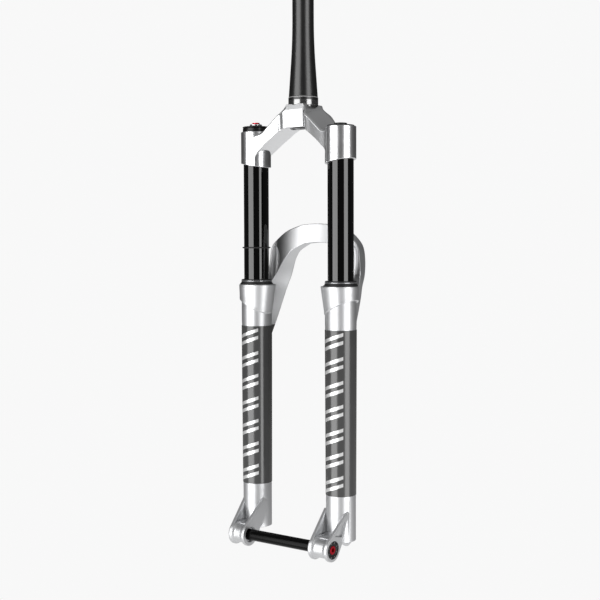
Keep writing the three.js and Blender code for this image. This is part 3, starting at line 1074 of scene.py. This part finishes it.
@dataclass
class TopCaps(Assembly):
    """The caps of both stanchions, with the damper's dials and the air valve's cap."""

    flange_r: float = 18.0
    flange_low: float = -34.0
    flange_top: float = -28.2
    air_flange_top: float = -32.0
    scallops: int = 14

    def cap(self, side: Side, hole: float, top: float) -> None:
        """Builds one cap.

        Args:
            side: its leg.
            hole: the radius of its hole.
            top: Z of its top face.
        """
        corners = [
            (hole, -48, 0.3), (14.9, -48, 0.6), (14.9, -42.3, 0.2), (13.6, -42.3, 0),
            (13.6, -39.7, 0), (14.9, -39.7, 0.2), (14.9, self.flange_low, 0.2),
            (self.flange_r, self.flange_low, 0.3), (self.flange_r - 0.2, top, 0.8),
            (hole, top, 0.3),
        ]
        name = side.name.lower()
        skin = turned(rounded(corners, 3)).at(*self.sizes.leg(side))
        self.shop.piece(f"{name}_cap", skin, "upper_assembly", "cap_black", [f"{name}_top_cap"])

    def dial(self) -> None:
        """Builds the wide compression dial, with grip scallops round its edge."""
        profile = rounded(
            [
                (6.4, -27.9, 0.2), (17.4, -27.9, 0.3), (18.2, -27.5, 0.3), (18.2, -26.6, 0.4),
                (17.0, -26.0, 0.5), (9.2, -25.8, 0.8), (8.6, -24.6, 0.4), (6.4, -24.6, 0.2),
            ],
            3,
        )
        skin = gripped(turned(profile, self.scallops * 12), self.scallops, 15, 0.55, fade=3.2)
        skin = skin.at(*self.sizes.leg(Side.DAMPER))
        self.shop.piece("wide_dial", skin, "compression_dial", "cap_black", ["compression_dial"])
        band = [(6.5, -24.6, 0.2), (8.3, -24.6, 0.2), (8.1, -22.9, 0.4), (6.5, -22.9, 0.3)]
        ring = turned(rounded(band, 3)).at(*self.sizes.leg(Side.DAMPER))
        self.shop.piece("dial_ring", ring, "compression_dial", "alloy_plain")

    def knob(self) -> None:
        """Builds the small knob in the middle of the dial, with a grip bar across it."""
        leg = self.sizes.leg(Side.DAMPER)
        base = rod(6.0, -27.6, -22.4, 0.4).at(*leg)
        grip = rod(5.0, -23.0, -20.6, 0.5).at(*leg)
        bite = rod(3.6, -22.2, -19, 0.3, 48)
        bites = [bite.at(leg[0], leg[1] + way * 5.4) for way in (-1, 1)]
        steps = [(Join.ADD, grip), (Join.ADD, rod(2.5, -46, -27, 0.2, 32).at(*leg))]
        steps += [(Join.CUT, tool) for tool in bites]
        made = self.shop.combine(base, steps, "centre_knob")
        self.shop.piece("centre_knob", made, "low_speed_knob", "red_anodised", ["low_speed_knob"])

    def valve(self) -> None:
        """Builds the air valve's stem and pin, and its lid with a knurled edge."""
        leg = self.sizes.leg(Side.AIR)
        stem = sleeve(3.7, 1.9, -48, -30.4, 0.2).at(*leg)
        self.shop.piece("valve_neck", stem, "upper_assembly", "brass_valve", ["valve_stem"])
        pin = rod(1.0, -44, -31.2, 0.2, 32).at(*leg)
        self.shop.piece("valve_needle", pin, "valve_pin", "brass_valve", ["valve_pin"])
        corners = [
            (0, -30.1, 0), (5.2, -30.1, 0.2), (5.2, -31.9, 0.2), (8.6, -31.9, 0.3),
            (8.6, -29.7, 0.5), (7.8, -29.2, 0.3), (4.4, -29.2, 0.2), (3.8, -29.6, 0.2),
            (0, -29.6, 0),
        ]
        skin = gripped(turned(rounded(corners, 3, closed=False), 144), 18, 8.2, 0.25)
        self.shop.piece("valve_lid", skin.at(*leg), "valve_cap", "cap_black", ["valve_cap"])

    def build(self) -> None:
        """Builds the caps and what is on them."""
        self.cap(Side.DAMPER, 4.5, self.flange_top)
        self.cap(Side.AIR, 4.0, self.air_flange_top)
        self.dial()
        self.knob()
        self.valve()


@dataclass
class DustSeal(Assembly):
    """The rubber wiper at the top of one leg, with the spring round its lip."""

    side: Side
    spring_r: float = 20.35
    spring_z: float = -235.3
    spring_wire: float = 0.62

    def build(self) -> None:
        """Builds the wiper and its spring."""
        name = self.side.name.lower()
        corners = [
            (17.25, -234.2, 0.2), (17.8, -239, 0.4), (17.25, -246, 0.3), (20.8, -247.7, 0.3),
            (20.8, -239.7, 0.1), (22.6, -239.7, 0.2), (22.6, -238.7, 0.3), (21.4, -238.3, 0.3),
            (20.9, -236.4, 0.2), (20.1, -236.2, 0.2), (20.1, -234.4, 0.2), (20.7, -234.1, 0.3),
            (20.4, -233.2, 0.4), (17.6, -233.0, 0.3),
        ]
        leg = self.sizes.leg(self.side)
        skin = turned(rounded(corners, 3)).at(*leg)
        self.shop.piece(f"{name}_seal_lip", skin, "lowers", "rubber_black", [f"{name}_wiper"])
        coil = hoop(self.spring_r, self.spring_z, self.spring_wire, 12).at(*leg)
        node = f"{name}_wiper_spring"
        self.shop.piece(f"{name}_lip_spring", coil, "lowers", "steel_bright", [node])


@dataclass
class TravelRing(Assembly):
    """The rubber ring on the damper's stanchion that shows how much travel was used."""

    z: float = -190.0
    clear: float = 1.3
    thickness: float = 0.95

    def build(self) -> None:
        """Builds the ring."""
        skin = hoop(self.sizes.stanchion_r + self.clear, self.z, self.thickness, 16)
        skin = skin.at(*self.sizes.leg(Side.DAMPER))
        self.shop.piece("travel_band", skin, "travel_ring", "rubber_black", ["travel_ring"])


POST_WEB: Pair = (46.5, 56.5)


@dataclass
class LegFilm(Assembly):
    """The dark printed film round one leg, notched behind for the arch and the brake posts."""

    side: Side
    thickness: float = 0.5

    def build(self) -> None:
        """Builds the film."""
        s = self.sizes
        leg = s.leg(self.side)
        name = self.side.name.lower()
        corners = [
            (s.leg_low_r + 0.1, s.film_bottom, 0),
            (s.leg_low_r + self.thickness, s.film_bottom, 0.15),
            (s.leg_top_r + self.thickness, s.film_top, 0.15),
            (s.leg_top_r + 0.1, s.film_top, 0),
        ]
        wall = turned(rounded(corners, 3), 144).at(*leg)
        notch = [(8.0, -330.0), (40.0, -330.0), (40.0, -290.0), (1.0, -290.0)]
        gusset = plate(notch, leg[0] - 12, leg[0] + 12, 0.1)
        steps = [(Join.CUT, gusset)]
        if self.side is Side.AIR:
            web = [(-6.0, -545.0), (40.0, -545.0), (40.0, -487.0), (-6.0, -487.0)]
            steps.append((Join.CUT, plate(web, POST_WEB[0] - 0.6, POST_WEB[1] + 0.6, 0.1)))
        made = self.shop.combine(wall, steps, "film")
        self.shop.piece(
            f"{name}_film",
            made,
            "lowers",
            "panel_dark",
            [f"{name}_leg_panel"],
            material=self.shop.finishes.film(self.side, s),
        )


@dataclass
class BrakePosts:
    """Two posts for a disc brake behind the air leg, on one web."""

    sizes: ForkSizes
    angle: float = math.radians(24)
    reach: float = 76.0
    spacing: float = 74.2
    x: float = 51.0

    def point(self, reach: float, along: float) -> Pair:
        """Returns Y and Z of a point, by its distance from the axle and along the posts' faces."""
        c, s = math.cos(self.angle), math.sin(self.angle)
        return self.sizes.axle_y + reach * c - along * s, self.sizes.axle_z + reach * s + along * c

    def steps(self) -> list[Step]:
        """Makes the web and the posts.

        Returns:
            What the casting gains and loses for them.
        """
        half = self.spacing / 2
        # How far short of the posts' faces, how far along them, and radius of each corner.
        web = (
            (12, -half - 6, 3), (3, -half - 5, 2), (3, -half + 5, 3), (14, -half + 12, 8),
            (16, 0, 16), (14, half - 12, 8), (3, half - 5, 3), (3, half + 5, 3),
        )
        corners = [(self.sizes.leg_y, -492.0, 0), (self.sizes.leg_y, -570.0, 0)]
        corners += [(*self.point(self.reach - short, along), r) for short, along, r in web]
        made = [(Join.ADD, plate(rounded(corners), *POST_WEB, 1.2))]
        tilt = Matrix.Rotation(self.angle - math.pi / 2, 4, "X")
        for along in (-half, half):
            place = Matrix.Translation((self.x, *self.point(self.reach, along))) @ tilt
            made.append((Join.ADD, rod(8, -14, 0, 0.8).moved(place)))
            made.append((Join.CUT, rod(2.6, -11, 1, 0.1, 48).moved(place)))
        return made


@dataclass
class Dropout:
    """One leg's pair of fins ahead of its foot, with the drum that holds the axle."""

    sizes: ForkSizes
    outer_x: float
    inner_x: float = 53.5
    fin: float = 4.5
    boss_r: float = 15.58
    drum_r: float = 12.3
    apex: Pair = (-25.0, -532.5)
    lean_from: float = -566.0
    inner_lean: float = -3.4
    outer_lean: float = 5.6
    lip: float = 2.4
    pocket_depth: float = 1.5

    def leaned(self, skin: Skin, reach: float) -> Skin:
        """Leans a fin's skin sideways towards its top, and returns it.

        Args:
            skin: the upright skin.
            reach: how far the top moves along X.

        Returns:
            The same skin.
        """
        for p in skin.points:
            p.x += reach * max(0.0, p.z - self.lean_from) / (self.apex[1] - self.lean_from)
        return skin

    def outline(self) -> list[Pair]:
        """Draws a fin's edge.

        Returns:
            Its Y and Z, anticlockwise.
        """
        centre = Vector((self.sizes.axle_y, self.sizes.axle_z))
        apex = Vector(self.apex)
        gap = apex - centre
        tangent = math.atan2(gap.y, gap.x) + math.acos(self.boss_r / gap.length)
        end = math.radians(318)
        steps = 24
        edge = []
        for i in range(steps + 1):
            a = tangent + (end - tangent) * i / steps
            point = centre + self.boss_r * Vector((math.cos(a), math.sin(a)))
            edge.append((point.x, point.y))
        foot = self.sizes.leg_bottom + 3
        edge += [(-27.0, foot), (-16.0, foot), (-16.0, apex.y - 6), (apex.x + 1, apex.y + 1)]
        return edge

    def pocket(self) -> list[Pair]:
        """Returns Y and Z of the three-cornered hollow in a fin's face, anticlockwise."""
        return rounded([(-29.0, -543.5, 1.2), (-49.0, -560.5, 1.6), (-31.5, -565.0, 1.6)])

    def steps(self) -> list[Step]:
        """Makes the left leg's fins, drum, floor and pockets.

        Returns:
            What the casting gains and loses for them.
        """
        edge = self.outline()
        outer = plate(edge, self.outer_x - self.fin, self.outer_x, 0.9)
        inner = plate(edge, self.inner_x, self.inner_x + self.fin, 0.9)
        waist, rim = self.drum_r, self.drum_r + self.lip
        low, high = self.inner_x + 1, self.outer_x - 1
        drum = [
            (0, low, 0), (rim, low, 0), (rim, low + 4.2, 1.5), (waist, low + 6.5, 2),
            (waist, high - 6.5, 2), (rim, high - 4.2, 1.5), (rim, high, 0), (0, high, 0),
        ]
        turned_drum = turned(rounded(drum, closed=False)).along_x()
        floor = [(-50.0, -568.5), (-20.0, -563.0), (-20.0, -559.5), (-50.0, -564.5)]
        made = [
            (Join.ADD, self.leaned(inner, self.inner_lean)),
            (Join.ADD, self.leaned(outer, self.outer_lean)),
            (Join.ADD, turned_drum.at(0, self.sizes.axle_y, self.sizes.axle_z)),
            (Join.ADD, plate(floor, self.inner_x + 3, self.outer_x - 3, 0.2)),
        ]
        faces = (
            (self.inner_x + self.fin, 1, self.inner_lean),
            (self.outer_x - self.fin, -1, self.outer_lean),
            (self.outer_x, 1, self.outer_lean),
        )
        for x, way, lean in faces:
            a, b = sorted((x - way * self.pocket_depth, x + way * 0.8))
            made.append((Join.CUT, self.leaned(plate(self.pocket(), a, b, 0.3), lean)))
        return made


@dataclass
class LowerCasting(Assembly):
    """The one-piece casting: two legs with slanted collars, the rear arch and the dropouts."""

    rim_r: float = 24.0
    cone: float = 0.09
    inboard_cone: float = 0.06
    inboard_bulge: float = 3.4
    collar_z: float = -267.0
    collar_slant: float = 10.5
    segments: int = 128
    air_outer: float = 83.0
    damper_outer: float = 79.5
    # Inner front, inner rear, outer rear and outer front corners of the arch, from the gusset
    # inside the left leg up to the middle.
    arch_sections: Sequence[Sequence[Triple]] = (
        ((62, -8, -317), (62, 5, -319), (74, 5, -319), (78, -8, -317)),
        ((66, -2, -287), (59.5, 20, -289), (74, 18, -289), (79, -4, -287)),
        ((66, 2, -258), (55.5, 31, -259), (74, 28, -259), (81, 0, -258)),
        ((64.5, 8, -241), (52.8, 37, -242), (72.5, 34, -242), (81, 12, -241)),
        ((58, 15.5, -225), (50, 42, -228), (73.5, 38.5, -227), (78, 20, -226)),
        ((51.5, 21, -210), (46.5, 44.5, -211), (73, 41, -208), (75.5, 22, -207)),
        ((45, 23.5, -201), (43, 45.5, -202), (69.5, 42, -190), (72.5, 22.5, -189)),
        ((40, 24.5, -195), (39, 46, -196), (60, 43.5, -178), (62, 24.5, -177)),
        ((33, 26, -190.5), (33, 46.5, -191.5), (46, 44.5, -168), (47, 26.5, -166.5)),
        ((20, 28, -184.5), (20, 45.6, -185), (25, 44.4, -160.4), (25, 28.5, -158.9)),
    )

    def ring(self, radius: Profile, height: Profile) -> list[Vector]:
        """Returns one ring round the left leg's axis.

        Args:
            radius: the radius, by how far inboard the point lies, from -1 to 1.
            height: Z by the same.

        Returns:
            The ring's points.
        """
        points = []
        for a in circle(self.segments):
            inboard = -math.cos(a)
            r = radius(inboard)
            points.append(Vector((r * math.cos(a), r * math.sin(a), height(inboard))))
        return points

    def leg(self) -> Skin:
        """Makes the left leg with its flared collar.

        Returns:
            The leg as a solid.
        """
        s = self.sizes
        body_r = s.leg_top_r + 0.25

        def edge(inboard: float) -> float:
            """Returns Z of the collar's slanted lower edge."""
            return self.collar_z - self.collar_slant * inboard

        def flare(inboard: float, z: float) -> float:
            """Finds the collar's radius, which is wider and tapers more inboard.

            Args:
                inboard: how far inboard, from -1 to 1.
                z: the height.

            Returns:
                The radius.
            """
            top = self.rim_r + self.inboard_bulge * max(0.0, inboard) ** 2
            taper = self.cone + self.inboard_cone * inboard
            return max(body_r + 0.6, top - taper * (s.rim_z - z))

        low = rounded(
            [
                (0, s.leg_bottom, 0), (s.leg_low_r, s.leg_bottom, 0.9),
                (s.leg_low_r, s.film_bottom, 0), (s.leg_top_r, s.film_top, 0), (body_r, -290, 0),
            ],
            closed=False,
        )
        rings = [self.ring(lambda _, r=r: r, lambda _, z=z: z) for r, z in low[1:]]
        rings.append(self.ring(lambda _: body_r, lambda i: edge(i) - 2.2))
        rings.append(self.ring(lambda i: flare(i, edge(i)) + 0.15, lambda i: edge(i) - 1.1))
        rings.append(self.ring(lambda i: flare(i, edge(i)) + 0.3, edge))
        rings.append(self.ring(lambda i: flare(i, edge(i) + 3), lambda i: edge(i) + 3))
        rings.append(self.ring(lambda i: flare(i, -246), lambda _: -246))
        for inward, z in ((0.0, -241.2), (0.35, -240.35), (1.2, s.rim_z)):
            rings.append(self.ring(lambda i, d=inward: flare(i, -241.2) - d, lambda _, z=z: z))
        return lofted(rings).at(s.leg_x, s.leg_y)

    def bore(self) -> Skin:
        """Makes the hollow of the left leg.

        Returns:
            The solid to cut.
        """
        outline = [
            (0, -548), (8, -548), (17.7, -538), (17.7, -400), (18.5, -398), (18.5, -258),
            (19.5, -258), (19.5, -248), (21.1, -248), (21.1, -238), (0, -238),
        ]
        return turned(outline).at(*self.sizes.leg(Side.AIR))

    def foot(self) -> Skin:
        """Returns the pocket under the left leg, and the shaft's hole above it."""
        outline = [(0, -575), (10.5, -575), (10.5, -558), (5.3, -558), (5.3, -547), (0, -547)]
        return turned(outline, 64).at(*self.sizes.leg(Side.AIR))

    def arch(self) -> Skin:
        """Lofts the arch with both of its gussets.

        Returns:
            The arch.
        """
        radii = (1.0, 3.0, 3.0, 1.6)
        half = [rounded_ring(ring, radii) for ring in smoothed(self.arch_sections, 6)]
        other = [flipped(ring) for ring in reversed(half)]
        middle = []
        span = 8
        for i in range(1, span):
            t = i / span
            crest = math.sin(math.pi * t) * 1.5
            pairs = zip(half[-1], other[0], strict=True)
            middle.append([a.lerp(b, t) + Vector((0, crest, crest)) for a, b in pairs])
        return lofted([*half, *middle, *other])

    def scoop(self) -> Skin:
        """Makes the hollow in the left shoulder's front face, behind the stanchion.

        Returns:
            The solid to cut.
        """
        steps = 24
        angles = [math.pi * (i / steps - 0.5) for i in range(steps + 1)]
        skin = turned([(8.0 * math.cos(a), 25.0 * math.sin(a)) for a in angles], 48)
        return skin.moved(Matrix.Rotation(math.radians(-6), 4, "X")).at(65.5, 18.5, -212)

    def axle_cuts(self) -> list[Step]:
        """Makes the holes and recesses round the axle.

        Returns:
            The cuts.
        """
        s = self.sizes
        spans = (
            (s.axle_r + 0.3, 40, 90), (10.7, 50, 55), (10.7, -55, -50),
            (11.8, 79.8, 90), (9.8, -90, -40),
        )
        cuts = []
        for radius, low, high in spans:
            cutter = rod(radius, low, high, 0.05, 64).along_x()
            cuts.append((Join.CUT, cutter.at(0, s.axle_y, s.axle_z)))
        return cuts

    def build(self) -> None:
        """Builds the casting."""
        leg = self.leg()
        steps = [(Join.ADD, leg.mirrored()), (Join.ADD, self.arch())]
        steps += Dropout(self.sizes, self.air_outer).steps()
        other = Dropout(self.sizes, self.damper_outer)
        steps += [(how, skin.mirrored()) for how, skin in other.steps()]
        steps += BrakePosts(self.sizes).steps()
        for hollow in (self.bore(), self.foot(), self.scoop()):
            steps += [(Join.CUT, hollow), (Join.CUT, hollow.mirrored())]
        steps += self.axle_cuts()
        made = self.shop.combine(leg, steps, "casting")
        self.shop.piece("casting", made, "lowers", "casting_silver", ["lower_casting"], sharp=28)


@dataclass
class ThruAxle(Assembly):
    """The axle with its head, and the red expander bolt in the head."""

    ticks: int = 8

    def seat(self, skin: Skin) -> Skin:
        """Returns a skin made about Z, laid on the axle's line."""
        return skin.along_x().at(0, self.sizes.axle_y, self.sizes.axle_z)

    def build(self) -> None:
        """Builds the axle's pieces."""
        tube = self.seat(sleeve(self.sizes.axle_r, 4.6, -78.5, 79.6, 0.5))
        self.shop.piece("axle_tube", tube, "axle", "axle_black", ["thru_axle"])
        head = [
            (5.9, 80.1, 0.2), (11.4, 80.1, 0.3), (11.4, 82.3, 0.5), (10.9, 82.6, 0.2),
            (8.4, 82.6, 0.2), (8.0, 82.3, 0.2), (5.9, 82.3, 0.2),
        ]
        cap = self.seat(turned(rounded(head, 3)))
        self.shop.piece("axle_cap", cap, "axle", "cap_black", ["axle_head"])
        bolt = rod(5.5, 80.2, 82.85, 0.5)
        steps = [(Join.ADD, rod(4.2, 60, 81, 0.2, 48)), (Join.CUT, rod(3.2, 77, 84, 0.01, 6))]
        made = self.shop.combine(bolt, steps, "bolt")
        made.data.transform(Matrix.Rotation(math.pi / 2, 4, "Y"))
        made.data.transform(Matrix.Translation((0, self.sizes.axle_y, self.sizes.axle_z)))
        self.shop.piece("expander_bolt", made, "axle_bolt", "red_anodised", ["axle_bolt"], sharp=25)
        self.marks()

    def marks(self) -> None:
        """Builds the plain position ticks round the head's face."""
        points: list[Vector] = []
        faces: list[tuple[int, ...]] = []
        outline = [(8.9, -0.35), (10.4, -0.35), (10.4, 0.35), (8.9, 0.35)]
        for i in range(self.ticks):
            tick = plate(outline, 82.5, 82.75, 0.05)
            turn = Matrix.Rotation(FULL_TURN * (i + 0.5) / self.ticks, 4, "X")
            tick = tick.moved(turn).at(0, self.sizes.axle_y, self.sizes.axle_z)
            faces += [tuple(v + len(points) for v in face) for face in tick.faces]
            points += tick.points
        self.shop.piece("axle_ticks", Skin(points, faces), "axle", "alloy_plain", sharp=25)


@dataclass
class FootFittings(Assembly):
    """What shows in the pockets under the legs: nut, rebound knob and foot bolt."""

    def build(self) -> None:
        """Builds the fittings."""
        damper, air = self.sizes.leg(Side.DAMPER), self.sizes.leg(Side.AIR)
        nut = [(4.2, -566, 0.3), (8, -566, 0.5), (8, -560.2, 0.5), (4.2, -560.2, 0.3)]
        skin = turned(rounded(nut, 3), 6).at(*damper)
        self.shop.piece("foot_nut", skin, "lowers", "alloy_plain", ["damper_foot_nut"], sharp=25)
        knob = [
            (0, -572.8, 0), (7.6, -572.8, 0.6), (8.4, -571.4, 0.5), (8.4, -566.4, 0.5),
            (0, -566.4, 0),
        ]
        grip = gripped(turned(rounded(knob, 3, closed=False), 144), 12, 7.5, 0.4)
        steps = [(Join.ADD, rod(1.9, -567, -360, 0.2, 24).at(*damper))]
        made = self.shop.combine(grip.at(*damper), steps, "rebound")
        self.shop.piece("rebound_grip", made, "rebound_knob", "red_anodised", ["rebound_knob"])
        bolt = rod(7.5, -568, -560.2, 0.7).at(*air)
        steps = [
            (Join.ADD, rod(3, -561, -546, 0.3, 48).at(*air)),
            (Join.CUT, rod(3, -570, -563, 0.01, 6).at(*air)),
        ]
        made = self.shop.combine(bolt, steps, "foot_bolt")
        self.shop.piece("foot_bolt", made, "lowers", "alloy_plain", ["air_foot_bolt"], sharp=25)


class InnerPieces:
    """The nodes that keep their own shape, most of them hidden inside the tubes."""

    def __init__(self, finishes: Finishes) -> None:
        """Args:
            finishes: the fork's finishes.
        """
        self.finishes = finishes

    def build(self) -> None:
        """Gives each node that still shows its slot's material and eased edges."""
        slots = {part["node"]: part["material_slot"] for part in frame["record"]["subparts"]}
        for name, node in frame["nodes"].items():
            if node.hide_render:
                continue
            node.data.materials.clear()
            node.data.materials.append(self.finishes.by_slot[slots[name]])
            edge = node.modifiers.new("eased_edges", "BEVEL")
            edge.width = 0.15 * MM
            edge.segments = 2
            edge.angle_limit = math.radians(40)
            LOG.info("%s: dressed as %s", name, slots[name])


# ------------------------------------------------------------------ studio


@dataclass(frozen=True)
class SoftBox:
    """One tall soft light: where it stands round the fork, its width and its radiance."""

    name: str
    azimuth: float
    width: float
    radiance: float = 3.3
    distance: float = 1.8
    height: float = 2.4
    z: float = -0.2

    def build(self) -> None:
        """Makes the light, facing the fork and unseen by the camera."""
        a = math.radians(self.azimuth)
        data = bpy.data.lights.new(self.name, "AREA")
        data.shape = "RECTANGLE"
        data.size = self.width
        data.size_y = self.height
        data.energy = self.radiance * math.pi * self.width * self.height
        made = bpy.data.objects.new(self.name, data)
        out = Vector((math.sin(a), -math.cos(a), 0))
        made.location = out * self.distance + Vector((0, 0, self.z))
        made.rotation_euler = out.to_track_quat("Z", "Y").to_euler()
        made.visible_camera = False
        bpy.context.scene.collection.objects.link(made)


@dataclass
class Studio:
    """A pale floor and sky, two tall soft boxes and the camera."""

    camera_place: Triple = (0.92498, -1.25151, -0.17889)
    azimuth: float = math.radians(36.659)
    pitch: float = math.radians(3.003)
    roll: float = math.radians(-0.169)
    lens: float = 69.464
    pale: float = 0.94
    floor_z: float = -0.72
    boxes: Sequence[SoftBox] = (SoftBox("box_front", -15, 1.6), SoftBox("box_side", 82, 1.1))
    # Light from straight below, through level, to straight above.
    room: Sequence[Pair] = ((0.0, 0.85), (0.30, 0.8), (0.45, 0.05), (0.62, 0.045), (1.0, 0.35))

    def camera(self) -> None:
        """Makes the camera."""
        a, p, r = self.azimuth, self.pitch, self.roll
        back = Vector((math.sin(a) * math.cos(p), -math.cos(a) * math.cos(p), math.sin(p)))
        level = Vector((math.cos(a), math.sin(a), 0))
        above = back.cross(level)
        right = math.cos(r) * level + math.sin(r) * above
        up = math.cos(r) * above - math.sin(r) * level
        data = bpy.data.cameras.new("camera")
        data.lens = self.lens
        data.sensor_width = 36
        data.clip_start = 0.05
        data.clip_end = 100
        made = bpy.data.objects.new("camera", data)
        turn = Matrix((right, up, back)).transposed().to_4x4()
        made.matrix_world = Matrix.Translation(self.camera_place) @ turn
        bpy.context.scene.collection.objects.link(made)
        bpy.context.scene.camera = made

    def sky(self) -> None:
        """Makes the dim room that the metal mirrors: light from below, little from the sides."""
        world = bpy.data.worlds.new("room")
        bpy.context.scene.world = world
        world.use_nodes = True
        tree = world.node_tree
        tree.nodes.clear()
        where = tree.nodes.new("ShaderNodeTexCoord")
        split = tree.nodes.new("ShaderNodeSeparateXYZ")
        ramp = tree.nodes.new("ShaderNodeValToRGB")
        light = tree.nodes.new("ShaderNodeBackground")
        output = tree.nodes.new("ShaderNodeOutputWorld")
        shift = tree.nodes.new("ShaderNodeMapRange")
        shift.inputs["From Min"].default_value = -1.0
        shift.inputs["From Max"].default_value = 1.0
        stops = ramp.color_ramp.elements
        for stop, (place, level) in zip(stops, (self.room[0], self.room[-1]), strict=True):
            stop.position, stop.color = place, grey(level)
        for place, level in self.room[1:-1]:
            stops.new(place).color = grey(level)
        tree.links.new(where.outputs["Generated"], split.inputs[0])
        tree.links.new(split.outputs["Z"], shift.inputs["Value"])
        tree.links.new(shift.outputs[0], ramp.inputs[0])
        tree.links.new(ramp.outputs[0], light.inputs["Color"])
        tree.links.new(light.outputs[0], output.inputs["Surface"])

    def backdrop(self) -> None:
        """Makes the pale floor and the pale sky round it, which only the camera sees."""
        material = bpy.data.materials.new("pale_paper")
        material.use_nodes = True
        tree = material.node_tree
        tree.nodes.clear()
        glow = tree.nodes.new("ShaderNodeEmission")
        glow.inputs["Color"].default_value = grey(self.pale)
        output = tree.nodes.new("ShaderNodeOutputMaterial")
        tree.links.new(glow.outputs[0], output.inputs["Surface"])
        for name, shape in (("floor", self.disc()), ("surround", self.dome())):
            mesh = bpy.data.meshes.new(name)
            shape.to_mesh(mesh)
            shape.free()
            mesh.materials.append(material)
            made = bpy.data.objects.new(name, mesh)
            for ray in ("diffuse", "glossy", "transmission", "shadow", "volume_scatter"):
                setattr(made, f"visible_{ray}", False)
            bpy.context.scene.collection.objects.link(made)

    def disc(self) -> bmesh.types.BMesh:
        """Makes the floor.

        Returns:
            Its mesh.
        """
        work = bmesh.new()
        place = Matrix.Translation((0, 0, self.floor_z))
        bmesh.ops.create_circle(work, cap_ends=True, radius=6, segments=96, matrix=place)
        return work

    def dome(self) -> bmesh.types.BMesh:
        """Makes the surround.

        Returns:
            Its mesh.
        """
        work = bmesh.new()
        bmesh.ops.create_icosphere(work, subdivisions=4, radius=12)
        return work

    def build(self) -> None:
        """Builds the studio."""
        self.camera()
        for box in self.boxes:
            box.build()
        self.sky()
        self.backdrop()
        bpy.context.scene.view_settings.view_transform = "Standard"
        bpy.context.scene.view_settings.look = "None"


def main() -> None:
    """Builds the studio and the fork."""
    logging.basicConfig(level=logging.INFO, format="%(name)s: %(message)s")
    Studio().build()
    sizes = ForkSizes()
    finishes = Finishes()
    shop = Workshop(finishes)
    Steerer(shop, sizes).build()
    ForkCrown(shop, sizes).build()
    TopCaps(shop, sizes).build()
    for side in Side:
        Stanchion(shop, sizes, side).build()
        DustSeal(shop, sizes, side).build()
        LegFilm(shop, sizes, side).build()
    TravelRing(shop, sizes).build()
    LowerCasting(shop, sizes).build()
    ThruAxle(shop, sizes).build()
    FootFittings(shop, sizes).build()
    InnerPieces(finishes).build()


if __name__ == "__main__":
    main()
